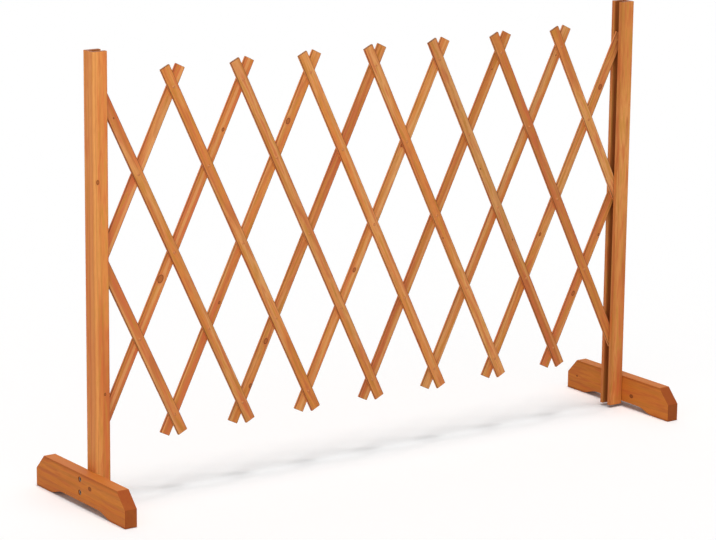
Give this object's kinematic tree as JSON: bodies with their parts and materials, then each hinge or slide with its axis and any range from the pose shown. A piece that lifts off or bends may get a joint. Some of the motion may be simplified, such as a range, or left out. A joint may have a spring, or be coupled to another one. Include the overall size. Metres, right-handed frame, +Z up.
{
  "type": "expandable trellis",
  "caption": "Free-standing expanding garden trellis: a riveted lattice of wooden slats folds between two channel posts on feet and carries climbing plants.",
  "frame": {"origin": "on the ground under the middle of the trellis as it stands open at rest", "axes": "+X along the trellis from the left post to the right one, +Y from its front to its back, +Z up"},
  "size_m": [1.6596, 0.41, 1.07],
  "materials": {
    "post_wood": "orange-brown stained softwood, satin",
    "foot_wood": "red-brown stained softwood, satin",
    "front_slat_wood": "orange-brown stained softwood, satin",
    "back_slat_wood": "orange-brown stained softwood, satin",
    "rivet_steel": "stained over, dull",
    "post_pin_steel": "zinc-plated, dull",
    "foot_screw_steel": "zinc-plated, dull"
  },
  "bodies": {
    "left_post": {"left_post": "post_wood", "left_foot": "foot_wood", "left_post_pin": "post_pin_steel", "left_foot_screw_lower": "foot_screw_steel", "left_foot_screw_upper": "foot_screw_steel"},
    "front_slat_1": {"front_slat_1": "front_slat_wood", "rivet_row4_1": "rivet_steel", "rivet_row5_1": "rivet_steel"},
    "front_slat_2": {"front_slat_2": "front_slat_wood", "rivet_row3_1": "rivet_steel", "rivet_row4_2": "rivet_steel", "rivet_row5_2": "rivet_steel"},
    "front_slat_3": {"front_slat_3": "front_slat_wood", "rivet_row1_1": "rivet_steel", "rivet_row3_2": "rivet_steel", "rivet_row4_3": "rivet_steel", "rivet_row5_3": "rivet_steel"},
    "front_slat_4": {"front_slat_4": "front_slat_wood", "rivet_row1_2": "rivet_steel", "rivet_row3_3": "rivet_steel", "rivet_row4_4": "rivet_steel", "rivet_row5_4": "rivet_steel"},
    "front_slat_5": {"front_slat_5": "front_slat_wood", "rivet_row1_3": "rivet_steel", "rivet_row3_4": "rivet_steel", "rivet_row4_5": "rivet_steel", "rivet_row5_5": "rivet_steel"},
    "front_slat_6": {"front_slat_6": "front_slat_wood", "rivet_row1_4": "rivet_steel", "rivet_row3_5": "rivet_steel", "rivet_row4_6": "rivet_steel", "rivet_row5_6": "rivet_steel"},
    "front_slat_7": {"front_slat_7": "front_slat_wood", "rivet_row1_5": "rivet_steel", "rivet_row3_6": "rivet_steel", "rivet_row4_7": "rivet_steel", "rivet_row5_7": "rivet_steel"},
    "front_slat_8": {"front_slat_8": "front_slat_wood", "rivet_row1_6": "rivet_steel", "rivet_row3_7": "rivet_steel", "rivet_row4_8": "rivet_steel"},
    "front_slat_9": {"front_slat_9": "front_slat_wood", "rivet_row1_7": "rivet_steel"},
    "back_slat_1": {"back_slat_1": "back_slat_wood"},
    "back_slat_2": {"back_slat_2": "back_slat_wood"},
    "back_slat_3": {"back_slat_3": "back_slat_wood"},
    "back_slat_4": {"back_slat_4": "back_slat_wood"},
    "back_slat_5": {"back_slat_5": "back_slat_wood"},
    "back_slat_6": {"back_slat_6": "back_slat_wood"},
    "back_slat_7": {"back_slat_7": "back_slat_wood"},
    "back_slat_8": {"back_slat_8": "back_slat_wood"},
    "back_slat_9": {"back_slat_9": "back_slat_wood"},
    "right_post": {"right_post": "post_wood", "right_foot": "foot_wood", "right_post_pin": "post_pin_steel", "right_foot_screw_lower": "foot_screw_steel", "right_foot_screw_upper": "foot_screw_steel"}
  },
  "joints": [
    {"name": "fold", "type": "hinge", "parent": "left_post", "child": "front_slat_1", "pos_m": [-0.7645, 0, 0.57775], "axis": [0, 1, 0], "range_deg": [-4, 22]},
    {"name": "front_slat_2_pivot", "type": "hinge", "parent": "back_slat_3", "child": "front_slat_2", "pos_m": [-0.47781, 0, 0.38181], "axis": [0, 1, 0], "range_deg": [-8, 44]},
    {"name": "front_slat_3_pivot", "type": "hinge", "parent": "back_slat_3", "child": "front_slat_3", "pos_m": [-0.38225, 0, 0.57775], "axis": [0, 1, 0], "range_deg": [-8, 44]},
    {"name": "front_slat_4_pivot", "type": "hinge", "parent": "back_slat_5", "child": "front_slat_4", "pos_m": [-0.09556, 0, 0.38181], "axis": [0, 1, 0], "range_deg": [-8, 44]},
    {"name": "front_slat_5_pivot", "type": "hinge", "parent": "back_slat_3", "child": "front_slat_5", "pos_m": [-0.19112, 0, 0.96963], "axis": [0, 1, 0], "range_deg": [-8, 44]},
    {"name": "front_slat_6_pivot", "type": "hinge", "parent": "back_slat_7", "child": "front_slat_6", "pos_m": [0.28669, 0, 0.38181], "axis": [0, 1, 0], "range_deg": [-8, 44]},
    {"name": "front_slat_7_pivot", "type": "hinge", "parent": "back_slat_7", "child": "front_slat_7", "pos_m": [0.38225, 0, 0.57775], "axis": [0, 1, 0], "range_deg": [-8, 44]},
    {"name": "front_slat_8_pivot", "type": "hinge", "parent": "back_slat_9", "child": "front_slat_8", "pos_m": [0.66894, 0, 0.38181], "axis": [0, 1, 0], "range_deg": [-8, 44]},
    {"name": "front_slat_9_pivot", "type": "hinge", "parent": "back_slat_7", "child": "front_slat_9", "pos_m": [0.57337, 0, 0.96963], "axis": [0, 1, 0], "range_deg": [-8, 44]},
    {"name": "back_slat_1_pivot", "type": "hinge", "parent": "left_post", "child": "back_slat_1", "pos_m": [-0.7645, 0, 0.57775], "axis": [0, 1, 0], "range_deg": [-22, 4]},
    {"name": "back_slat_2_pivot", "type": "hinge", "parent": "front_slat_1", "child": "back_slat_2", "pos_m": [-0.66894, 0, 0.38181], "axis": [0, 1, 0], "range_deg": [-44, 8]},
    {"name": "back_slat_3_pivot", "type": "hinge", "parent": "front_slat_1", "child": "back_slat_3", "pos_m": [-0.57337, 0, 0.18587], "axis": [0, 1, 0], "range_deg": [-44, 8]},
    {"name": "back_slat_4_pivot", "type": "hinge", "parent": "front_slat_3", "child": "back_slat_4", "pos_m": [-0.28669, 0, 0.38181], "axis": [0, 1, 0], "range_deg": [-44, 8]},
    {"name": "back_slat_5_pivot", "type": "hinge", "parent": "front_slat_5", "child": "back_slat_5", "pos_m": [0, 0, 0.57775], "axis": [0, 1, 0], "range_deg": [-44, 8]},
    {"name": "back_slat_6_pivot", "type": "hinge", "parent": "front_slat_5", "child": "back_slat_6", "pos_m": [0.09556, 0, 0.38181], "axis": [0, 1, 0], "range_deg": [-44, 8]},
    {"name": "back_slat_7_pivot", "type": "hinge", "parent": "front_slat_5", "child": "back_slat_7", "pos_m": [0.19112, 0, 0.18587], "axis": [0, 1, 0], "range_deg": [-44, 8]},
    {"name": "back_slat_8_pivot", "type": "hinge", "parent": "front_slat_7", "child": "back_slat_8", "pos_m": [0.47781, 0, 0.38181], "axis": [0, 1, 0], "range_deg": [-44, 8]},
    {"name": "back_slat_9_pivot", "type": "hinge", "parent": "front_slat_9", "child": "back_slat_9", "pos_m": [0.7645, 0, 0.57775], "axis": [0, 1, 0], "range_deg": [-44, 8]},
    {"name": "right_post_pivot", "type": "hinge", "parent": "front_slat_9", "child": "right_post", "pos_m": [0.7645, 0, 0.57775], "axis": [0, 1, 0], "range_deg": [-22, 4]}
  ],
  "couplings": [
    {"joint": "front_slat_2_pivot", "follows": "fold", "ratio": 2},
    {"joint": "front_slat_3_pivot", "follows": "fold", "ratio": 2},
    {"joint": "front_slat_4_pivot", "follows": "fold", "ratio": 2},
    {"joint": "front_slat_5_pivot", "follows": "fold", "ratio": 2},
    {"joint": "front_slat_6_pivot", "follows": "fold", "ratio": 2},
    {"joint": "front_slat_7_pivot", "follows": "fold", "ratio": 2},
    {"joint": "front_slat_8_pivot", "follows": "fold", "ratio": 2},
    {"joint": "front_slat_9_pivot", "follows": "fold", "ratio": 2},
    {"joint": "back_slat_1_pivot", "follows": "fold", "ratio": -1},
    {"joint": "back_slat_2_pivot", "follows": "fold", "ratio": -2},
    {"joint": "back_slat_3_pivot", "follows": "fold", "ratio": -2},
    {"joint": "back_slat_4_pivot", "follows": "fold", "ratio": -2},
    {"joint": "back_slat_5_pivot", "follows": "fold", "ratio": -2},
    {"joint": "back_slat_6_pivot", "follows": "fold", "ratio": -2},
    {"joint": "back_slat_7_pivot", "follows": "fold", "ratio": -2},
    {"joint": "back_slat_8_pivot", "follows": "fold", "ratio": -2},
    {"joint": "back_slat_9_pivot", "follows": "fold", "ratio": -2},
    {"joint": "right_post_pivot", "follows": "fold", "ratio": -1}
  ]
}
